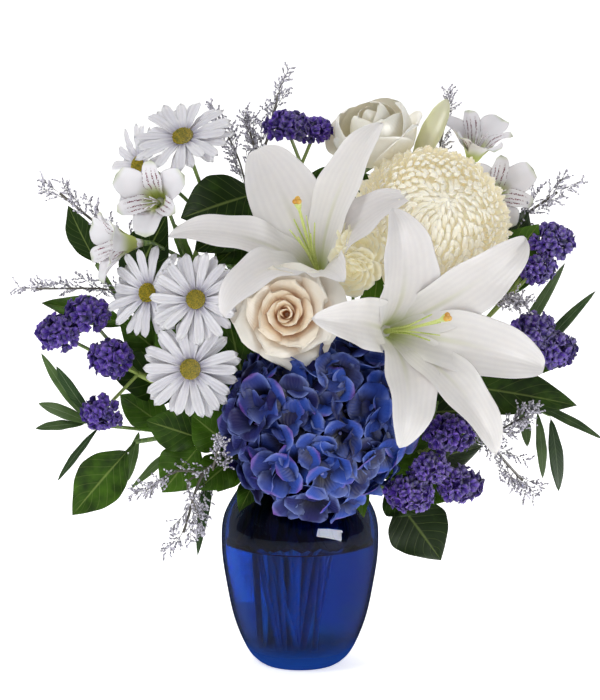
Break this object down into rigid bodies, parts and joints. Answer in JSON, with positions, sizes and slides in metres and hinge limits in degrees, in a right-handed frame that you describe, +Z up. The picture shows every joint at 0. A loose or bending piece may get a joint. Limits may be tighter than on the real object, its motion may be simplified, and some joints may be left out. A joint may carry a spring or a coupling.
{
  "type": "mixed flower bouquet in a glass vase",
  "caption": "Cut-flower bouquet round a blue hydrangea head, with lilies, roses, daisies and leafy sprays, standing in water in a blue glass vase.",
  "frame": {"origin": "centre of the vase's flat foot, on the surface it stands on", "axes": "+Z up along the vase's axis, -Y towards the front of the bouquet, +X to the right seen from the front"},
  "size_m": [0.4134, 0.2615, 0.4503],
  "materials": {
    "green_stem": "satin",
    "hydrangea_petal": "matt",
    "lily_petal": "satin",
    "lily_pistil": "satin",
    "lily_bud": "satin",
    "rose_petal": "satin",
    "mum_petal": "matt",
    "daisy_ray": "matt",
    "daisy_disc": "matt",
    "alstroemeria_petal": "satin",
    "statice": "matt",
    "caspia": "matt",
    "salal_leaf": "satin",
    "willow_leaf": "matt",
    "blue_glass": "gloss",
    "water": "clear"
  },
  "bodies": {
    "root": {"alstroemeria_left_petals": "alstroemeria_petal", "alstroemeria_left_stem": "green_stem", "alstroemeria_right_petals": "alstroemeria_petal", "alstroemeria_right_stem": "green_stem", "alstroemeria_side_petals": "alstroemeria_petal", "alstroemeria_top_petals": "alstroemeria_petal", "caspia_left": "caspia", "caspia_lowleft": "caspia", "caspia_lowright": "caspia", "caspia_right": "caspia", "caspia_top": "caspia", "daisy_back_disc": "daisy_disc", "daisy_back_rays": "daisy_ray", "daisy_back_stem": "green_stem", "daisy_behind_disc": "daisy_disc", "daisy_behind_rays": "daisy_ray", "daisy_low_disc": "daisy_disc", "daisy_low_rays": "daisy_ray", "daisy_lower_stem": "green_stem", "daisy_middle_disc": "daisy_disc", "daisy_middle_rays": "daisy_ray", "daisy_side_disc": "daisy_disc", "daisy_side_rays": "daisy_ray", "daisy_top_disc": "daisy_disc", "daisy_top_rays": "daisy_ray", "daisy_upper_stem": "green_stem", "hydrangea_head": "hydrangea_petal", "hydrangea_stem": "green_stem", "lily_bud": "lily_bud", "lily_left_petals": "lily_petal", "lily_left_pistil": "lily_pistil", "lily_left_stem": "green_stem", "lily_right_petals": "lily_petal", "lily_right_pistil": "lily_pistil", "lily_right_stem": "green_stem", "mum_petals": "mum_petal", "mum_stem": "green_stem", "rose_back_petals": "rose_petal", "rose_back_stem": "green_stem", "rose_front_petals": "rose_petal", "rose_front_stem": "green_stem", "salal_back": "salal_leaf", "salal_left": "salal_leaf", "salal_lowleft": "salal_leaf", "salal_lowright": "salal_leaf", "salal_right": "salal_leaf", "spray_rose_petals": "rose_petal", "spray_rose_stem": "green_stem", "statice_back": "statice", "statice_left": "statice", "statice_lowright": "statice", "statice_right": "statice", "statice_top": "statice", "vase_glass": "blue_glass", "vase_water": "water", "willow_left": "willow_leaf", "willow_right": "willow_leaf"}
  },
  "joints": []
}
